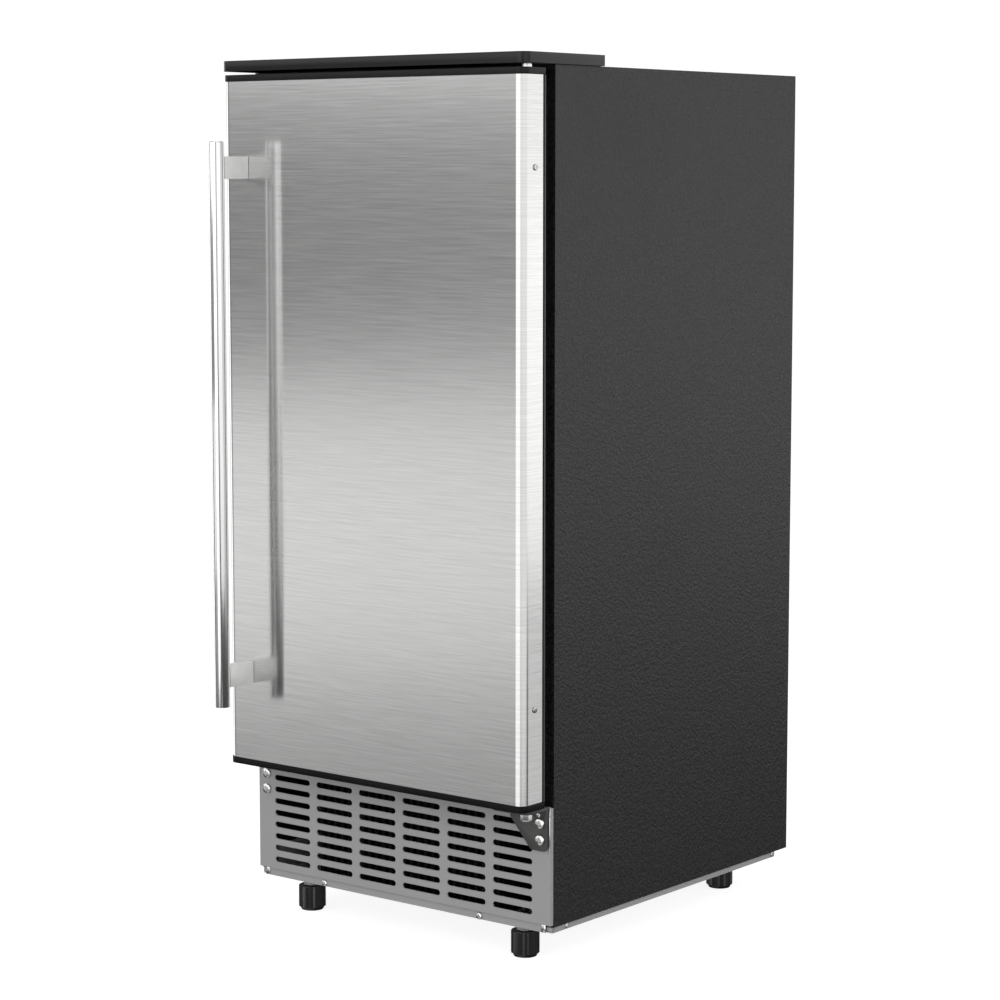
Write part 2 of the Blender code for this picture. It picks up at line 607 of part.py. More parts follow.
def water_works():
    x, back, low, rim = (-0.126, 0.148), FRONT + 0.334, STEP_HEIGHT + GAP, 0.466
    side = [(FRONT + 0.220, low), (back, low), (back, rim), (FRONT + 0.254, rim), (FRONT + 0.220, 0.412)]
    trough = finish(new_prism(side, "X", x), "water_trough", "liner_white")
    cut(trough, new_block((x[0] + WALL, x[1] - WALL), (FRONT + 0.257, back - WALL), (low + WALL, rim + 0.01)))

    base, outlet_z = low + WALL + GAP, low + 0.016
    body = [(0, base), (0.0140, base), (0.0140, base + 0.024), (0.0070, base + 0.028), (0.0070, 0.474),
            (0.0195, 0.474), (0.0195, 0.528), (0, 0.528)]
    pump = finish(turned(bmesh.new(), body, (PUMP_X, PUMP_Y, 0)), "water_pump", "black_plastic")
    add(pump, rod(bmesh.new(), 0.0050, (PUMP_X, PUMP_Y, outlet_z), (0.0100, 0.0190), "Y", 16))
    hose_y = FRONT + 0.3225
    pipe("pump_hose", "curtain_white",
         [(PUMP_X, PUMP_Y + 0.0190 + GAP, outlet_z), (PUMP_X, hose_y, outlet_z), (PUMP_X, hose_y, SPRAY_Z),
          (PUMP_X, SPRAY_Y, SPRAY_Z), (GRID_X[1] + 0.012 + GAP, SPRAY_Y, SPRAY_Z)], 0.0045)


def curtain(carrier):
    """The splash curtain hangs on two pegs in front of the grid."""
    x = (GRID_X[0] + 0.001, GRID_X[1] - 0.001)
    sheet = new_block(x, (CURTAIN_Y - 0.0012, CURTAIN_Y + 0.0012), (0.474, CURTAIN_Z))
    flap = finish(sheet, "splash_curtain", "curtain_white", carrier)
    add(flap, rod(bmesh.new(), 0.0035, (0, CURTAIN_Y, CURTAIN_Z), (x[0] - 0.0065, x[1] + 0.0065), "X", 16))


def bin_sensor():
    x, y, z = -CAVITY_HALF + 0.0003, FRONT + 0.120, 0.452
    clip = finish(new_block((x, x + 0.012), (y - 0.018, y + 0.018), (z - 0.014, z + 0.014)),
                  "bin_sensor_clip", "black_plastic")
    cut(clip, rod(bmesh.new(), 0.0038, (x + 0.0065, y, z), (-0.05, 0.05), "Y", 16))
    probe = rod(bmesh.new(), 0.0034, (x + 0.0065, y, z), (-0.045, 0.045), "Y", 16)
    finish(probe, "bin_sensor_probe", "copper")


# ---- controls, under the cavity's ceiling ----
PANEL_Y = FRONT + 0.012
BUTTON_Z = 0.7895
BUTTON_XS = {"power": -0.086, "select": -0.058, "clean": -0.030}
BUTTON_RADIUS = 0.0060
DISPLAY_X = (0.020, 0.092)


def controls():
    x, y, z = (-0.140, 0.140), (PANEL_Y, PANEL_Y + 0.050), (0.7740, CAVITY_TOP - GAP)
    shell = finish(new_block(x, y, z), "control_housing", "liner_white")
    cut(shell, new_block((x[0] + WALL, x[1] - WALL), (y[0] + WALL, y[1] + 0.01), (z[0] + WALL, z[1] - WALL)))
    window = (DISPLAY_X, (0.7805, 0.7985))
    cut(shell, new_block(window[0], (y[0] - 0.01, y[0] + 0.006), window[1]))
    inset = [(a + GAP, b - GAP) for a, b in window]
    finish(new_block(inset[0], (y[0] + 0.0004, y[0] + 0.0030), inset[1]), "display_window", "display")
    finish(new_block((-0.105, 0.105), (y[0] + 0.014, y[0] + 0.0156),
                     (z[0] + WALL + GAP, z[1] - WALL - GAP)), "control_board", "board_green")
    holes = bmesh.new()
    for name, bx in BUTTON_XS.items():
        rod(holes, BUTTON_RADIUS + GAP, (bx, y[0], BUTTON_Z), (-0.01, 0.006), "Y")
        carrier = pivot(f"{name}_button_axis", (bx, y[0], BUTTON_Z))
        profile = [(0, -0.0028), (0.0048, -0.0028), (BUTTON_RADIUS, -0.0018), (BUTTON_RADIUS, WALL + GAP),
                   (0.0078, WALL + GAP), (0.0078, WALL + 0.0018), (0.0020, WALL + 0.0018),
                   (0.0020, 0.0120), (0, 0.0120)]
        knob = turned(bmesh.new(), profile, (bx, y[0], BUTTON_Z), "Y")
        finish(knob, f"{name}_button", "black_plastic", carrier)
    cut(shell, holes)


# ---- cooling works, under and behind the ice bin ----
FAN_X, FAN_Z = -0.015, 0.0960
CORE_X = (-0.128, 0.110)
COMPRESSOR = (-0.040, FRONT + 0.322)
WATER_INLET = (0.128, 0.300)
DRAIN_OUTLET = (0.128, 0.090)
CORD_INLET = (-0.150, 0.300)
DRAIN_PUMP_Y = BACK - 0.113


def condenser():
    """The finned core, drawn from above as a comb of fins on each face."""
    y, z, fins, depth = (FRONT + 0.022, FRONT + 0.062), (TRAY_TOP + GAP, 0.1500), 26, 0.009
    pitch = (CORE_X[1] - CORE_X[0]) / fins
    front = []
    for i in range(fins):
        x = CORE_X[0] + i * pitch
        front += [(x, y[0]), (x + pitch * 0.45, y[0]), (x + pitch * 0.45, y[0] + depth),
                  (x + pitch, y[0] + depth)]
    front[-1] = (CORE_X[1] - pitch * 0.1, y[0] + depth)
    outline = front + [(CORE_X[1] - pitch * 0.1, y[0]), (CORE_X[1], y[0]), (CORE_X[1], y[1]), (CORE_X[0], y[1])]
    finish(new_prism(outline, "Z", z), "condenser_core", "aluminium")

    shroud_y = (FRONT + 0.066, FRONT + 0.0675)
    shroud = finish(new_block(CORE_X, shroud_y, z), "fan_shroud", "grey_steel")
    cut(shroud, rod(bmesh.new(), 0.0510, (FAN_X, shroud_y[0], FAN_Z), (-0.01, 0.01), "Y", 32))


def fan(carrier):
    y = FRONT + 0.0720
    blade = finish(rod(bmesh.new(), 0.0140, (FAN_X, y, FAN_Z), (0, 0.0180), "Y"),
                   "fan_blade", "black_plastic", carrier)
    blades, length, chord = 5, 0.0350, 0.0280
    vanes = bmesh.new()
    for i in range(blades):
        twist = Matrix.Rotation(math.radians(30), 4, "Z")
        size = Matrix.Diagonal((chord, 0.0020, length, 1))
        reach = Matrix.Translation((0, 0, 0.0120 + length / 2))
        turn = Matrix.Rotation(2 * math.pi * i / blades, 4, "Y")
        place = Matrix.Translation((FAN_X, y + 0.0090, FAN_Z))
        bmesh.ops.create_cube(vanes, size=1, matrix=place @ turn @ reach @ twist @ size)
    add(blade, vanes)

    motor_y = y + 0.0183
    motor = finish(rod(bmesh.new(), 0.0230, (FAN_X, motor_y, FAN_Z), (0, 0.0420), "Y"),
                   "fan_motor", "grey_steel")
    add(motor, rod(bmesh.new(), 0.0100, (FAN_X, motor_y, FAN_Z), (0.0400, 0.0500), "Y"))
    add(motor, new_block((FAN_X - 0.010, FAN_X + 0.010), (motor_y + 0.0040, motor_y + 0.0300),
                         (0.0360, FAN_Z - 0.0200)))
    add(motor, new_block((FAN_X - 0.020, FAN_X + 0.020), (motor_y + 0.0004, motor_y + 0.0340),
                         (TRAY_TOP + GAP, 0.0370)))


def compressor():
    x, y = COMPRESSOR
    plate_z = (0.0470, 0.0500)
    plate = finish(new_prism(rounded((x - 0.078, x + 0.078), (y - 0.060, y + 0.060), (0.012,) * 4),
                             "Z", plate_z), "compressor", "black_plastic")
    profile = [(0, 0.0480), (0.050, 0.0480), (0.061, 0.0580), (0.064, 0.0760), (0.064, 0.1340),
               (0.0655, 0.1345), (0.0655, 0.1385), (0.064, 0.1390), (0.060, 0.1600), (0.046, 0.1780),
               (0.024, 0.1860), (0, 0.1880)]
    add(plate, turned(bmesh.new(), profile, (x, y, 0), steps=32))
    add(plate, new_block((x + 0.0600, x + 0.0900), (y - 0.022, y + 0.022), (0.085, 0.130)))
    spots = [(x + sx * 0.068, y + sy * 0.050) for sx in (-1, 1) for sy in (-1, 1)]
    holes, bosses = bmesh.new(), bmesh.new()
    low = TRAY_TOP + GAP
    for spot in spots:
        rod(holes, 0.0053, (*spot, plate_z[0]), (-0.01, 0.01), steps=16)
        profile = [(0, low + 0.0005), (0.0085, low + 0.0005), (0.0085, plate_z[0] - GAP),
                   (0.0050, plate_z[0] - GAP), (0.0050, 0.0530), (0, 0.0530)]
        turned(bosses, profile, (*spot, 0), steps=16)
    cut(plate, holes)
    mat = finish(new_prism(rounded((x - 0.078, x + 0.078), (y - 0.060, y + 0.060), (0.012,) * 4),
                           "Z", (low, low + 0.0015)), "compressor_mat", "rubber")
    add(mat, bosses)


def refrigerant_lines():
    x, y = COMPRESSOR
    clear = 0.0004
    pipe("discharge_line", "copper",
         [(x - 0.020, y - 0.0625, 0.100), (x - 0.020, y - 0.085, 0.100), (-0.158, y - 0.085, 0.100),
          (-0.158, FRONT + 0.040, 0.100), (CORE_X[0] - clear, FRONT + 0.040, 0.100)], 0.0032)
    drier_x, drier_y = 0.140, FRONT + 0.150
    drier = [(0, -0.045), (0.0050, -0.045), (0.0050, -0.040), (0.0110, -0.034), (0.0110, 0.034),
             (0.0050, 0.040), (0.0050, 0.045), (0, 0.045)]
    finish(turned(bmesh.new(), drier, (drier_x, drier_y, 0.070), "Y"), "filter_drier", "copper")
    pipe("liquid_line", "copper",
         [(CORE_X[1] + clear, FRONT + 0.040, 0.070), (drier_x, FRONT + 0.040, 0.070),
          (drier_x, drier_y - 0.0454, 0.070)], 0.0032)


def rear_fittings():
    x, z = WATER_INLET
    reach = FITTING_REACH
    valve = finish(new_block((x - 0.020, x + 0.020), (BACK - 0.050, BACK - SHEET - GAP), (z - 0.018, z + 0.018)),
                   "water_valve", "curtain_white")
    add(valve, rod(bmesh.new(), 0.0120, (x, BACK - 0.031, z), (0.010, 0.048)))
    add(valve, rod(bmesh.new(), 0.0132, (x, BACK, z), (-0.020, reach), "Y"))
    cut(valve, rod(bmesh.new(), 0.0095, (x, BACK, z), (-0.006, reach + 0.01), "Y"))

    x, z = DRAIN_OUTLET
    pump_radius, inner = 0.0240, DRAIN_PUMP_Y - BACK
    pump = finish(new_block((x - 0.034, x + 0.034), (DRAIN_PUMP_Y - 0.044, DRAIN_PUMP_Y + 0.044),
                            (TRAY_TOP + GAP, 0.0720)), "drain_pump", "black_plastic")
    add(pump, rod(bmesh.new(), pump_radius, (x, DRAIN_PUMP_Y, 0), (0.0700, 0.1180)))
    spout = rod(bmesh.new(), 0.0095, (x, BACK, z), (inner + pump_radius + GAP, reach), "Y")
    drain = finish(spout, "drain_spout", "curtain_white")
    add(drain, rod(bmesh.new(), 0.0140, (x, BACK, z), (GAP, 0.0025), "Y"))
    cut(drain, rod(bmesh.new(), 0.0068, (x, BACK, z), (-0.0300, reach + 0.01), "Y"))
    pipe("bin_drain_hose", "curtain_white",
         [(*BIN_DRAIN, CAVITY_BOTTOM), (*BIN_DRAIN, 0.136), (x, DRAIN_PUMP_Y, 0.136),
          (x, DRAIN_PUMP_Y, 0.1183)], BIN_DRAIN_RADIUS)

    x, z = CORD_INLET
    profile = [(0, -0.008), (0.0086, -0.008), (0.0086, GAP), (0.0125, GAP), (0.0115, 0.0040),
               (0.0070, 0.0120), (0, 0.0120)]
    gland = finish(turned(bmesh.new(), profile, (x, BACK, z), "Y"), "cord_gland", "black_plastic")
    cut(gland, rod(bmesh.new(), 0.0042, (x, BACK, z), (-0.02, 0.02), "Y", 16))


# ---- the whole ice maker ----
def build():
    clear_scene()
    cabinet()
    back_panel()
    base_tray()
    front_grille()
    liner_and_foam()
    top_cap()
    lower_hinge()
    upper_hinge()
    screws()
    door_axis = pivot("door_axis", (HINGE_X, HINGE_Y, 0))
    door(door_axis)
    handle(door_axis)
    feet()
    evaporator()
    water_works()
    curtain(pivot("curtain_axis", (0, CURTAIN_Y, CURTAIN_Z)))
    bin_sensor()
    controls()
    condenser()
    fan(pivot("fan_axis", (FAN_X, FRONT + 0.0720, FAN_Z)))
    compressor()
    refrigerant_lines()
    rear_fittings()


build()
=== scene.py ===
"""The looks of an undercounter ice maker: finishes for every piece, and the small hardware on it."""
import math

import bpy
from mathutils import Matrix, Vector


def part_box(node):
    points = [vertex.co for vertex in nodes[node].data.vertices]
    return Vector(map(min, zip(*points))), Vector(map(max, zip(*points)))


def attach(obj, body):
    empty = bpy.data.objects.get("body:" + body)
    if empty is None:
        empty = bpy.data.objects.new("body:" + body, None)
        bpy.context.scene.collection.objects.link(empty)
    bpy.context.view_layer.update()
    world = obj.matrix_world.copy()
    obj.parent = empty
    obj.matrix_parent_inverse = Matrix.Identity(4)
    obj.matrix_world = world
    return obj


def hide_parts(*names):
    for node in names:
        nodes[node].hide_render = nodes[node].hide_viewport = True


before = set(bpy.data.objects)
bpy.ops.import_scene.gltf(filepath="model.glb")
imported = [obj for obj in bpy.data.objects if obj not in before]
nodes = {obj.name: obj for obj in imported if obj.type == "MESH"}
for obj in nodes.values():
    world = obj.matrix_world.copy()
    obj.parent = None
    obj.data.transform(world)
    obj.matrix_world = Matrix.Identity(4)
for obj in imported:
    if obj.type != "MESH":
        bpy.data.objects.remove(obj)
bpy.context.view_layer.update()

# ---- the camera ----
LENS = 100.23
CAMERA_HEIGHT = 0.7459
CAMERA_TURN = 0.672178          # to the hinge side of the door
CAMERA_DIP = 0.116784
CAMERA_OFFSET = (1.7422, -2.0348)   # from the middle of the cabinet's front edge


def set_camera():
    cabinet_low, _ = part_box("cabinet_wrapper")
    data = bpy.data.cameras.new("camera")
    data.lens = LENS
    data.clip_start = 0.05
    camera = bpy.data.objects.new("camera", data)
    camera.location = (CAMERA_OFFSET[0], cabinet_low[1] + CAMERA_OFFSET[1], CAMERA_HEIGHT)
    camera.rotation_euler = (math.pi / 2 - CAMERA_DIP, 0, CAMERA_TURN)
    bpy.context.scene.collection.objects.link(camera)
    bpy.context.scene.camera = camera


# ---- drawing a finish ----
class Value:
    """A socket that carries a number, so that finishes can be written as sums."""

    def __init__(self, finish, socket):
        self.finish = finish
        self.socket = socket

    def maths(self, operation, *others):
        return self.finish.node("ShaderNodeMath", {"operation": operation}, [self, *others])

    def __add__(self, other):
        return self.maths("ADD", other)

    def __mul__(self, other):
        return self.maths("MULTIPLY", other)

    def __rsub__(self, other):
        return self.finish.node("ShaderNodeMath", {"operation": "SUBTRACT"}, [other, self])

    __radd__ = __add__
    __rmul__ = __mul__

    def step(self, low, high):
        """0 below low, 1 above high, and smooth between them."""
        settings = {"interpolation_type": "SMOOTHSTEP"}
        sockets = {"Value": self, "From Min": low, "From Max": high}
        return self.finish.node("ShaderNodeMapRange", settings, sockets)


class Finish:
    """A material whose nodes are added by name, with settings first and then sockets."""

    def __init__(self, name, roughness=0.5, metallic=0.0, shine=0.5, coat=0.0, stretched=0.0):
        self.material = bpy.data.materials.new(name)
        self.material.use_nodes = True
        self.tree = self.material.node_tree
        self.shader = self.tree.nodes["Principled BSDF"]
        self.set({
            "Roughness": roughness,
            "Metallic": metallic,
            "Specular IOR Level": shine,
            "Coat Weight": coat,
            "Anisotropic": stretched,
            "Anisotropic Rotation": 0.25 if stretched else 0.0,
        })
        self.place = self.node("ShaderNodeTexCoord", output="Object")

    def fill(self, socket, value):
        if isinstance(value, Value):
            self.tree.links.new(value.socket, socket)
        elif isinstance(value, tuple) and socket.type == "RGBA":
            socket.default_value = (*value[:3], 1)
        else:
            socket.default_value = value

    def node(self, kind, settings=None, sockets=None, output=0):
        made = self.tree.nodes.new(kind)
        for name, value in (settings or {}).items():
            setattr(made, name, value)
        named = sockets or {}
        for key, value in (named.items() if isinstance(named, dict) else enumerate(named)):
            self.fill(made.inputs[key], value)
        return Value(self, made.outputs[output])

    def set(self, sockets):
        for name, value in sockets.items():
            self.fill(self.shader.inputs[name], value)
        return self

    def noise(self, scale, detail=3.0, stretch=(1, 1, 1), roughness=0.5, shift=(0, 0, 0)):
        moved = {"Vector": self.place, "Scale": stretch, "Location": shift}
        place = self.node("ShaderNodeMapping", None, moved)
        sockets = {"Vector": place, "Scale": scale, "Detail": detail, "Roughness": roughness}
        return self.node("ShaderNodeTexNoise", None, sockets)

    def cells(self, scale, feature="F1", stretch=(1, 1, 1)):
        place = self.node("ShaderNodeMapping", None, {"Vector": self.place, "Scale": stretch})
        return self.node("ShaderNodeTexVoronoi", {"feature": feature}, {"Vector": place, "Scale": scale})

    def mix(self, mask, first, second):
        made = self.tree.nodes.new("ShaderNodeMix")
        made.data_type = "RGBA"
        for socket, value in zip((made.inputs[0], made.inputs[6], made.inputs[7]), (mask, first, second)):
            self.fill(socket, value)
        return Value(self, made.outputs[2])

    def relief(self, height, depth):
        normal = self.node("ShaderNodeBump", None, {"Height": height, "Distance": depth, "Strength": 1.0})
        return self.set({"Normal": normal})


def scuffed(finish, colour, worn, amount=0.35):
    """A colour with faint large patches and fine specks of a second one."""
    patches = finish.noise(9, 4, roughness=0.6).step(0.45, 0.75)
    specks = finish.noise(420, 2).step(0.58, 0.80)
    return finish.set({"Base Color": finish.mix(patches * amount + specks * (amount * 0.5), colour, worn)})


# ---- metals ----
def brushed_steel(name, tone, grain, roughness=0.26, depth=0.000006, stretched=0.0):
    """Steel with fine streaks along the axes where grain is small."""
    finish = Finish(name, metallic=1.0, stretched=stretched)
    fine = finish.noise(1, 2, grain, 0.5)
    hair = finish.noise(1, 2, tuple(g * 2.3 for g in grain), 0.5, (3, 5, 7))
    streak = fine * 0.65 + hair * 0.35
    dark, light = (tuple(t * k for t in tone) for k in (0.91, 1.06))
    finish.set({
        "Base Color": finish.mix(streak.step(0.32, 0.68), dark, light),
        "Roughness": streak * 0.05 + (roughness - 0.025),
    })
    return finish.relief(streak, depth).material


def plain_metal(name, tone, roughness, speckle=260, depth=0.00001, metallic=1.0, cloud=0.5):
    """Cast, drawn or plated metal: faint mottling and a slightly uneven shine."""
    finish = Finish(name, metallic=metallic)
    mottle = finish.noise(speckle, 3)
    clouds = finish.noise(18, 4, roughness=0.6)
    dull = tuple(t * 0.72 for t in tone)
    finish.set({
        "Base Color": finish.mix(clouds.step(0.40, 0.75) * cloud + mottle.step(0.5, 0.8) * 0.2, tone, dull),
        "Roughness": clouds * 0.16 + mottle * 0.08 + (roughness - 0.12),
    })
    return finish.relief(mottle, depth).material


def painted_sheet(name, colour, worn, roughness=0.45):
    """Thin satin paint on sheet steel."""
    finish = Finish(name, roughness, shine=0.45)
    scuffed(finish, colour, worn)
    flow = finish.noise(900, 2)
    finish.set({"Roughness": flow * 0.10 + finish.noise(12, 3) * 0.08 + (roughness - 0.09)})
    return finish.relief(flow, 0.000012).material


def fins(name):
    """Thin aluminium fins, drawn as fine upright lines."""
    finish = Finish(name, metallic=0.3, shine=0.2)
    lines = finish.node("ShaderNodeTexWave", {"wave_type": "BANDS", "bands_direction": "Z"},
                        {"Vector": finish.place, "Scale": 130.0, "Distortion": 0.3})
    dust = finish.noise(70, 4).step(0.45, 0.8)
    bright, dark = (0.009, 0.009, 0.0095), (0.003, 0.003, 0.003)
    finish.set({
        "Base Color": finish.mix(lines * 0.6 + dust * 0.3, bright, dark),
        "Roughness": dust * 0.2 + 0.60,
    })
    return finish.relief(lines, 0.0002).material


# ---- paint, plastic, rubber and foam ----
def pebbled_paint(name):
    """Black paint with a leather-like pebble one or two millimetres across."""
    finish = Finish(name, shine=0.42)
    wander = finish.noise(300, 4, roughness=0.62).step(0.32, 0.68)
    pebbles = finish.cells(520, "SMOOTH_F1")
    grit = finish.noise(1900, 2)
    height = wander * 0.60 + pebbles * 0.45 + grit * 0.10
    rub = finish.noise(7, 4).step(0.50, 0.80)
    finish.set({
        "Base Color": finish.mix(height.step(0.35, 0.80), (0.006, 0.006, 0.0063), (0.013, 0.013, 0.0135)),
        "Roughness": height * 0.12 + rub * 0.05 + 0.36,
    })
    return finish.relief(height, 0.00044).material


def moulded_plastic(name, colour, worn, roughness=0.42, depth=0.000018, grain=1500, shine=0.5):
    """Injection-moulded plastic with a fine spark texture."""
    finish = Finish(name, roughness, shine=shine)
    scuffed(finish, colour, worn, 0.25)
    spark = finish.noise(grain, 2, roughness=0.7)
    finish.set({"Roughness": spark * 0.12 + finish.noise(14, 3) * 0.08 + (roughness - 0.10)})
    return finish.relief(spark, depth).material


def clear_plastic(name, colour, roughness=0.25):
    """Milky plastic with a faint haze and a thin clear coat."""
    finish = Finish(name, roughness, shine=0.5, coat=0.15)
    haze = finish.noise(30, 4).step(0.35, 0.75)
    finish.set({
        "Base Color": finish.mix(haze * 0.4, colour, tuple(c * 0.86 for c in colour)),
        "Roughness": haze * 0.12 + (roughness - 0.05),
    })
    return finish.relief(finish.noise(350, 2), 0.000015).material


def rubber(name):
    finish = Finish(name, 0.8, shine=0.15)
    bloom = finish.noise(26, 5, roughness=0.65).step(0.45, 0.85)
    finish.set({
        "Base Color": finish.mix(bloom * 0.5, (0.003, 0.003, 0.003), (0.010, 0.010, 0.0097)),
        "Roughness": bloom * 0.15 + 0.70,
    })
    return finish.relief(finish.noise(1100, 2), 0.00003).material


def foam(name):
    """Cut rigid foam with small open cells."""
    finish = Finish(name, 0.9, shine=0.2)
    pores = finish.cells(700)
    lumps = finish.noise(60, 4)
    finish.set({"Base Color": finish.mix(pores * 0.6 + lumps * 0.4, (0.52, 0.43, 0.24), (0.78, 0.70, 0.48))})
    return finish.relief(pores + lumps * 0.5, 0.0004).material


def circuit_board(name):
    """Green board with copper tracks under the mask and pale joints."""
    finish = Finish(name, 0.32, shine=0.5)
    grid = finish.cells(260, "DISTANCE_TO_EDGE")
    tracks = 1 - grid.step(0.02, 0.05)
    joints = 1 - finish.cells(150).step(0.10, 0.14)
    masked = finish.mix(tracks, (0.010, 0.090, 0.030), (0.030, 0.190, 0.060))
    finish.set({
        "Base Color": finish.mix(joints, masked, (0.55, 0.55, 0.52)),
        "Roughness": joints * 0.1 + 0.30,
    })
    return finish.relief(tracks + joints, 0.00006).material


def display_glass(name):
    """Dark window with faint smears."""
    finish = Finish(name, 0.08, shine=0.6, coat=1.0)
    smears = finish.noise(40, 4).step(0.5, 0.8)
    finish.set({
        "Base Color": finish.mix(smears * 0.3, (0.006, 0.010, 0.018), (0.030, 0.040, 0.055)),
        "Roughness": smears * 0.10 + 0.05,
    })
    return finish.material


# ---- modelling by hand ----
def pick_nothing():
    bpy.ops.object.select_all(action="DESELECT")


def pick(piece):
    pick_nothing()
    piece.select_set(True)
    bpy.context.view_layer.objects.active = piece


def edit(piece):
    pick(piece)
    bpy.ops.object.mode_set(mode="EDIT")
    bpy.ops.mesh.select_mode(type="FACE")
    bpy.ops.mesh.select_all(action="DESELECT")


def leave_edit():
    bpy.ops.object.mode_set(mode="OBJECT")


def pick_faces(piece, test):
    """Selects the faces for which the test holds; the piece stays in edit mode."""
    bpy.ops.object.mode_set(mode="OBJECT")
    for face in piece.data.polygons:
        face.select = test(face)
    bpy.ops.object.mode_set(mode="EDIT")


def apply(piece, kind, **settings):
    modifier = piece.modifiers.new(kind.lower(), kind)
    for name, value in settings.items():
        setattr(modifier, name, value)
    pick(piece)
    bpy.ops.object.modifier_apply(modifier=modifier.name)


def settle(piece, name, material, body, smooth=35):
    """Puts a new piece's place in its mesh, smooths it and hands it to its body."""
    pick(piece)
    bpy.ops.object.transform_apply(location=True, rotation=True, scale=True)
    bpy.ops.object.shade_smooth_by_angle(angle=math.radians(smooth))
    piece.name = name
    piece.data.materials.clear()
    piece.data.materials.append(material)
    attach(piece, body)
    return piece


def softened(node, material, body, width=0.0006, segments=2, angle=40):
    """A copy of a CAD node with its sharp edges rounded, which takes the node's place."""
    source = nodes[node]
    piece = source.copy()
    piece.data = source.data.copy()
    bpy.context.scene.collection.objects.link(piece)
    edit(piece)
    bpy.ops.mesh.select_all(action="SELECT")
    bpy.ops.mesh.remove_doubles(threshold=0.00001)
    bpy.ops.mesh.dissolve_limited(angle_limit=math.radians(0.5))
    leave_edit()
    apply(piece, "BEVEL", width=width, segments=segments, limit_method="ANGLE",
          angle_limit=math.radians(angle), use_clamp_overlap=True)
    settle(piece, f"{node}_finished", material, body)
    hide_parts(node)
    return piece


def dress(material, *names):
    """Gives CAD nodes whose shape is right their finish."""
    for name in names:
        for holder in nodes[name].material_slots:
            holder.material = material


# ---- hardware ----
# Heights and places in metres. Depths are behind the cabinet's front edge.
DOOR_SCREW_AHEAD = 0.029        # the door's side screws, in front of the cabinet
LIP_SCREW_X = 0.100
RAIL_HEIGHT = 0.0368            # the screws through the tray's lip and rails
RAIL_SCREW_DEPTHS = {"front": 0.0215, "rear": 0.3777}
HEAD_SEAT = 0.0024              # from a CAD screw's front to the face its head sits on
HEAD_OVERSIZE = 1.16
HEAD_HEIGHT = 0.0021
SHANK_RADIUS, NUT_RADIUS = 0.0040, 0.0055
NUT_LOW, NUT_HIGH = 0.1452, 0.1526
STRIP_LOW, STRIP_HIGH = 0.1122, 0.1545
TAB_INNER, TAB_OUTER = 0.1753, 0.1802
TAB_LOW, TAB_HIGH = 0.0336, 0.0412
NOSE_LOW, NOSE_HIGH = 0.0350, 0.0390


def turn_to(axis):
    return {"X": (0, math.pi / 2, 0), "-X": (0, -math.pi / 2, 0), "-Y": (math.pi / 2, 0, 0),
            "Y": (-math.pi / 2, 0, 0), "Z": (0, 0, 0)}[axis]


def beside(piece, other, operation):
    """Joins the other piece to this one, or cuts it away, and removes the other."""
    apply(piece, "BOOLEAN", operation=operation, object=other)
    bpy.data.objects.remove(other)


def folded_strip(name, low, high, material, body, edge=0.0003):
    """A small flat piece of sheet with rounded edges, between two corners."""
    pick_nothing()
    middle = [(a + b) / 2 for a, b in zip(low, high)]
    bpy.ops.mesh.primitive_cube_add(size=1, location=middle)
    piece = bpy.context.object
    piece.scale = [b - a for a, b in zip(low, high)]
    pick(piece)
    bpy.ops.object.transform_apply(location=True, scale=True)
    apply(piece, "BEVEL", width=edge, segments=2)
    return settle(piece, name, material, body)


def domed_screw(name, place, axis, radius, height, body, material, recess=True):
    """A pan-head screw: a disc whose rim is rounded over, with a cross cut in its top."""
    pick_nothing()
    bpy.ops.mesh.primitive_cylinder_add(vertices=32, radius=radius, depth=height)
    piece = bpy.context.object
    piece.location = (0, 0, height / 2)
    bpy.ops.object.transform_apply(location=True)
    edit(piece)
    pick_faces(piece, lambda face: face.normal.z > 0.9)
    for inset, lift in ((0.16, 0.16), (0.28, 0.12), (0.26, 0.04)):
        bpy.ops.mesh.inset(thickness=radius * inset, depth=height * lift)
    leave_edit()
    apply(piece, "BEVEL", width=height * 0.35, segments=3, limit_method="ANGLE", angle_limit=math.radians(60))
    if recess:
        arm = (radius * 0.52, radius * 0.11)
        for reach in (arm, arm[::-1]):
            pick_nothing()
            bpy.ops.mesh.primitive_cube_add(size=1, location=(0, 0, height * 1.50))
            cutter = bpy.context.object
            cutter.scale = (reach[0] * 2, reach[1] * 2, height * 1.1)
            pick(cutter)
            bpy.ops.object.transform_apply(scale=True)
            beside(piece, cutter, "DIFFERENCE")
    piece.rotation_euler = turn_to(axis)
    piece.location = place
    return settle(piece, name, material, body)


def door_side_screws(material):
    """Two small screws through each side of the door skin, at the handle posts' heights."""
    low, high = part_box("door_skin")
    cabinet_low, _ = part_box("cabinet_wrapper")
    sink = 0.0002
    for word in ("lower", "upper"):
        post_low, post_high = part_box(f"handle_post_{word}")
        z = (post_low[2] + post_high[2]) / 2
        for side, x, axis in (("left", low[0] + sink, "-X"), ("right", high[0] - sink, "X")):
            place = (x, cabinet_low[1] - DOOR_SCREW_AHEAD, z)
            domed_screw(f"door_screw_{side}_{word}", place, axis, 0.0030, 0.0012, "door", material)


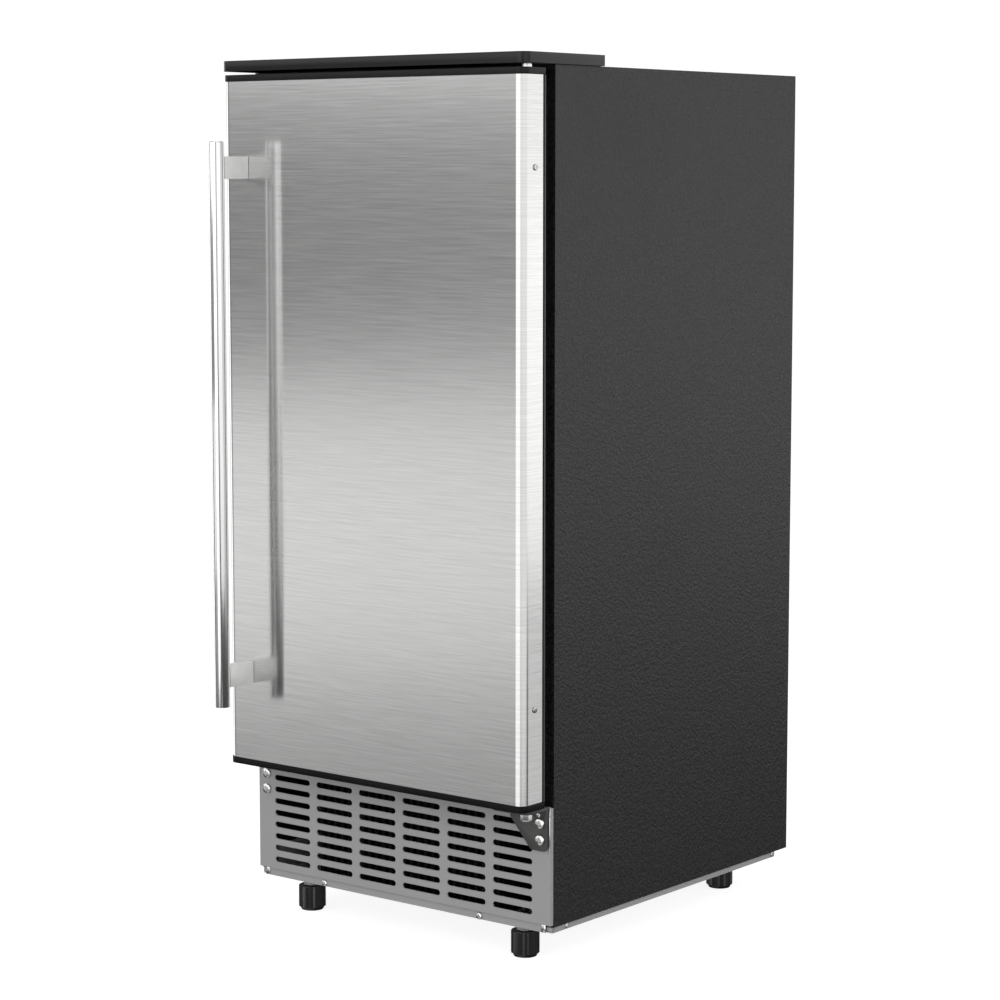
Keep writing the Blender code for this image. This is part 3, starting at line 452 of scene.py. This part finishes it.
def tray_screws(material):
    """Screws through the tray's front lip and along its side rails."""
    low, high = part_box("base_tray")
    for side, x in (("left", -LIP_SCREW_X), ("right", LIP_SCREW_X)):
        place = (x, low[1] + 0.0002, RAIL_HEIGHT)
        domed_screw(f"lip_screw_{side}", place, "-Y", 0.0034, 0.0018, "cabinet", material)
    cabinet_low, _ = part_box("cabinet_wrapper")
    for end, depth in RAIL_SCREW_DEPTHS.items():
        for side, x, axis in (("left", low[0] + 0.0001, "-X"), ("right", high[0] - 0.0001, "X")):
            place = (x, cabinet_low[1] + depth, RAIL_HEIGHT)
            domed_screw(f"rail_screw_{side}_{end}", place, axis, 0.0024, 0.0010, "cabinet", material)


def round_bar(radius, low, high, vertices, width):
    """An upright bar with rounded or chamfered ends, about the Z axis."""
    pick_nothing()
    bpy.ops.mesh.primitive_cylinder_add(vertices=vertices, radius=radius, depth=high - low,
                                        location=(0, 0, (low + high) / 2))
    bar = bpy.context.object
    pick(bar)
    bpy.ops.object.transform_apply(location=True)
    apply(bar, "BEVEL", width=width, segments=3, limit_method="ANGLE", angle_limit=math.radians(80))
    return bar


def hinge_bolt(material):
    """The lower pin: its shank, a hexagonal nut under the bracket and the rounded end below it."""
    low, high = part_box("lower_hinge_pin")
    centre = [(a + b) / 2 for a, b in zip(low, high)]
    piece = round_bar(SHANK_RADIUS, low[2] + 0.0004, high[2], 32, 0.0008)
    nut = round_bar(NUT_RADIUS, NUT_LOW, NUT_HIGH, 6, 0.0004)
    beside(piece, nut, "UNION")
    piece.location = (centre[0], centre[1], 0)
    settle(piece, "lower_hinge_bolt", material, "cabinet", 30)
    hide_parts("lower_hinge_pin")


def small_plates(bright, sheet):
    """The strip beside the hinge bracket, and the turned ends of the tray's front lip."""
    _, bracket_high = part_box("lower_hinge_bracket")
    _, grille_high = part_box("front_grille")
    tray_low, tray_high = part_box("base_tray")
    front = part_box("front_grille")[0][1]
    folded_strip("hinge_backing_strip", (bracket_high[0] + 0.0003, front - 0.0007, STRIP_LOW),
                 (grille_high[0] - 0.0001, front - 0.0001, STRIP_HIGH),
                 bright, "cabinet", 0.0001)
    cabinet_low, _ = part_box("cabinet_wrapper")
    for word, side in (("left", -1), ("right", 1)):
        inner, outer = sorted((side * TAB_INNER, side * TAB_OUTER))
        folded_strip(f"lip_tab_{word}", (inner, tray_low[1] - 0.0008, TAB_LOW),
                     (outer, tray_low[1] + 0.0004, TAB_HIGH), bright, "cabinet")
        inner, outer = sorted((side * TAB_INNER, side * (tray_high[0] - 0.0002)))
        folded_strip(f"rail_nose_{word}", (inner, cabinet_low[1] - 0.0008, NOSE_LOW),
                     (outer, cabinet_low[1] + 0.0012, NOSE_HIGH), sheet, "cabinet")


def build_hardware(steel, side_steel, sheet):
    door_side_screws(side_steel)
    tray_screws(steel)
    hinge_bolt(steel)
    small_plates(steel, sheet)
    low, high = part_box("bracket_screw_upper")
    place = ((low[0] + high[0]) / 2 - 0.0015, low[1] + HEAD_SEAT, high[2] + 0.0036)
    domed_screw("bracket_rivet", place, "-Y", 0.0023, 0.0014, "cabinet", steel, False)
    for name in ("bracket_screw_upper", "bracket_screw_lower", "grille_screw_upper", "grille_screw_lower"):
        low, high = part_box(name)
        head = (high[0] - low[0]) / 2 * HEAD_OVERSIZE
        seat = low[1] + HEAD_SEAT
        piece = domed_screw(f"{name}_head", ((low[0] + high[0]) / 2, seat, (low[2] + high[2]) / 2), "-Y",
                            head, HEAD_HEIGHT, "cabinet", steel)
        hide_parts(name)


# ---- light and floor ----
STUDIO_REACH = 28.0     # the white backdrop's radius
DOWNWARD_SKY, UPWARD_SKY = 0.06, 0.46
SKY_FADE = (-0.45, 0.35)    # the sky's height where it is darkest, and where it is lightest

# Every card: where its middle stands, what it faces, its width and height, and how bright it is.
CARDS = {
    "overhead": ((0.0, -0.1, 2.7), (0, -0.1, 0), (2.2, 2.2), 0.8),
    "front": ((-0.02, -1.80, 0.70), (0.1, -0.2, 0.70), (1.25, 2.3), 1.08),
    "front_right": ((1.72, -0.78, 0.70), (0.2, -0.1, 0.70), (2.2, 2.0), 0.75),
    "left": ((-1.45, -0.12, 0.56), (-0.15, -0.2, 0.56), (0.5, 1.9), 1.4),
    "door_foot": ((-1.20, -1.50, -0.24), (0, -0.2, -0.24), (1.2, 0.36), 0.24),
    "door_low": ((-1.20, -1.50, 0.18), (0, -0.2, 0.18), (1.2, 0.48), 0.70),
    "door_high": ((-1.20, -1.50, 1.24), (0, -0.2, 1.24), (1.2, 0.60), 0.95),
    "door_under": ((0.0, -2.2, -1.9), (0, -0.3, 0.4), (4.4, 1.8), 0.38),
    "side_high": ((1.25, 1.08, 1.45), (0.2, 0.0, 1.20), (1.6, 1.40), 0.80),
    "side_low": ((1.25, 1.08, 0.43), (0.2, 0.0, 0.43), (1.6, 0.64), 1.00),
    "flange_low": ((1.05, 0.86, -0.20), (0.187, -0.19, -0.05), (0.26, 0.62), 0.50),
}


def unlit_backdrop(stand):
    """Makes a floor or backdrop show to the camera without lighting the ice maker."""
    stand.visible_diffuse = False
    stand.visible_glossy = False
    stand.visible_transmission = False
    stand.visible_shadow = False


def set_stage():
    pick_nothing()
    bpy.ops.mesh.primitive_plane_add(size=2.2 * STUDIO_REACH, location=(0, 0, 0))
    floor = bpy.context.object
    floor.name = "floor"
    finish = Finish("floor_white", 0.9, shine=0.0)
    finish.set({"Base Color": finish.mix(finish.noise(3, 3) * 0.3, (0.36, 0.36, 0.36), (0.34, 0.34, 0.34)),
                "Emission Color": (1.0, 1.0, 1.0), "Emission Strength": 0.88})
    floor.data.materials.append(finish.material)
    unlit_backdrop(floor)
    pick_nothing()
    bpy.ops.mesh.primitive_uv_sphere_add(segments=48, ring_count=24, radius=STUDIO_REACH)
    backdrop = bpy.context.object
    backdrop.name = "backdrop"
    finish = Finish("backdrop_white", 0.9, shine=0.0)
    finish.set({"Base Color": (0, 0, 0), "Emission Color": (1.0, 1.0, 1.0), "Emission Strength": 1.02})
    backdrop.data.materials.append(finish.material)
    unlit_backdrop(backdrop)


def card(name, place, target, size, brightness):
    """A soft box. A card's light is its power over four times its area."""
    data = bpy.data.lights.new(name, "AREA")
    data.shape = "RECTANGLE"
    data.size, data.size_y = size
    data.energy = 4 * brightness * size[0] * size[1]
    lamp = bpy.data.objects.new(name, data)
    lamp.location = place
    lamp.rotation_euler = (Vector(target) - Vector(place)).to_track_quat("-Z", "Y").to_euler()
    lamp.visible_camera = False
    bpy.context.scene.collection.objects.link(lamp)


def set_lights():
    world = bpy.data.worlds.new("studio")
    bpy.context.scene.world = world
    world.use_nodes = True
    nodes_of = world.node_tree.nodes
    link = world.node_tree.links.new
    place = nodes_of.new("ShaderNodeTexCoord")
    split = nodes_of.new("ShaderNodeSeparateXYZ")
    fade = nodes_of.new("ShaderNodeMapRange")
    fade.interpolation_type = "SMOOTHSTEP"
    link(place.outputs["Generated"], split.inputs[0])
    link(split.outputs["Z"], fade.inputs["Value"])
    values = (*SKY_FADE, DOWNWARD_SKY, UPWARD_SKY)
    for name, value in zip(("From Min", "From Max", "To Min", "To Max"), values):
        fade.inputs[name].default_value = value
    background = nodes_of["Background"]
    background.inputs["Color"].default_value = (1, 1, 1, 1)
    link(fade.outputs["Result"], background.inputs["Strength"])
    for name, values in CARDS.items():
        card(name, *values)
    bpy.context.scene.view_settings.view_transform = "Standard"


# ---- the whole ice maker ----
def finish_pieces():
    cabinet_paint = pebbled_paint("pebbled_black_paint")
    black = moulded_plastic("satin_black_plastic", (0.004, 0.004, 0.0042), (0.009, 0.009, 0.0093),
                            0.33, shine=0.37)
    grained = moulded_plastic("grained_black_plastic", (0.004, 0.004, 0.004), (0.013, 0.013, 0.013),
                              0.42, 0.00026, 620, 0.25)
    # Painted shade: a darker, less shiny copy of the grained trim plastic for the door's bottom trim,
    # standing in for the shade low on the door.
    shaded_grained = moulded_plastic("dark_grained_plastic", (0.002, 0.002, 0.002), (0.020, 0.020, 0.020),
                                   0.46, 0.00026, 620, 0.13)
    liner_grey = moulded_plastic("dark_liner_plastic", (0.040, 0.040, 0.041), (0.055, 0.055, 0.056),
                                 0.42, shine=0.4)
    gloss_black = moulded_plastic("glossy_black_plastic", (0.010, 0.010, 0.010), (0.022, 0.022, 0.022),
                                  0.20, 0.00001)
    knob_black = moulded_plastic("knob_black_plastic", (0.006, 0.006, 0.006), (0.016, 0.016, 0.016),
                                 0.20, shine=0.8)
    white = moulded_plastic("white_plastic", (0.80, 0.81, 0.82), (0.70, 0.71, 0.72), 0.32, 0.00001)
    milky = clear_plastic("milky_plastic", (0.82, 0.86, 0.88))
    door_steel = brushed_steel("door_brushed_steel", (0.63, 0.63, 0.625), (15, 15, 1020),
                               0.16, 0.000001, 0.88)
    bar_steel = brushed_steel("bar_polished_steel", (0.77, 0.77, 0.77), (1200, 1200, 8), 0.15, 0.0000008)
    post_steel = plain_metal("satin_post_steel", (0.99, 0.985, 0.975), 0.34, 500, 0.000004, 0.25)
    bolt_steel = plain_metal("bolt_steel", (0.86, 0.86, 0.85), 0.16)
    sheet_grey = painted_sheet("grey_sheet_paint", (0.345, 0.345, 0.345), (0.385, 0.385, 0.385), 0.48)
    zinc = plain_metal("zinc_plate", (0.55, 0.56, 0.57), 0.42, 160, cloud=0.18)
    bracket_paint = painted_sheet("dark_bracket_paint", (0.060, 0.060, 0.058), (0.085, 0.085, 0.082), 0.42)
    copper = plain_metal("drawn_copper", (0.74, 0.36, 0.20), 0.28, 180)
    # Painted shade: copper for the lines behind the grille, darkened to stand in for the shade that falls
    # there, not for tarnish.
    shade_darkened_copper = plain_metal("shade_darkened_copper", (0.26, 0.13, 0.08), 0.42, 180)
    tin = plain_metal("tinned_grid", (0.76, 0.77, 0.78), 0.24, 200)

    dress(cabinet_paint, "cabinet_wrapper")
    dress(sheet_grey, "front_grille", "base_tray")
    dress(zinc, "back_panel", "fan_shroud", "fan_motor")
    dress(liner_grey, "door_liner")
    dress(white, "inner_liner", "evaporator_frame", "water_trough", "control_housing")
    dress(milky, "splash_curtain", "water_spray_tube", "pump_hose", "bin_drain_hose", "water_valve",
          "drain_spout", "door_top_bush", "door_bottom_bush")
    dress(foam("cut_foam"), "insulation_foam", "door_foam")
    dress(rubber("soft_rubber"), "door_gasket", "compressor_mat")
    dress(copper, "evaporator_coil", "bin_sensor_probe")
    dress(shade_darkened_copper, "discharge_line", "liquid_line", "filter_drier")
    dress(tin, "evaporator_grid")
    dress(fins("condenser_fins"), "condenser_core")
    dress(circuit_board("green_board"), "control_board")
    dress(display_glass("display_glass"), "display_window")
    dress(gloss_black, "compressor", "water_pump", "drain_pump", "cord_gland", "fan_blade", "bin_sensor_clip")
    dress(gloss_black, "power_button", "select_button", "clean_button")
    dress(door_steel, "door_skin")
    dress(bolt_steel, "upper_hinge_pin")
    dress(bracket_paint, "upper_hinge_plate")

    softened("top_cap", black, "cabinet", 0.0005, 2)
    softened("door_top_trim", grained, "door", 0.0005)
    softened("door_bottom_trim", shaded_grained, "door", 0.0005)
    softened("handle_bar", bar_steel, "door", 0.0009, 3, 60)
    for word in ("lower", "upper"):
        softened(f"handle_post_{word}", post_steel, "door", 0.0006, 3, 60)
    softened("lower_hinge_bracket", bracket_paint, "cabinet", 0.0004)
    dress(knob_black, *(f"foot_{end}_{side}" for end in ("front", "rear") for side in ("left", "right")))
    build_hardware(bolt_steel, plain_metal("door_screw_steel", (0.52, 0.52, 0.52), 0.22), sheet_grey)


set_camera()
set_stage()
set_lights()
finish_pieces()
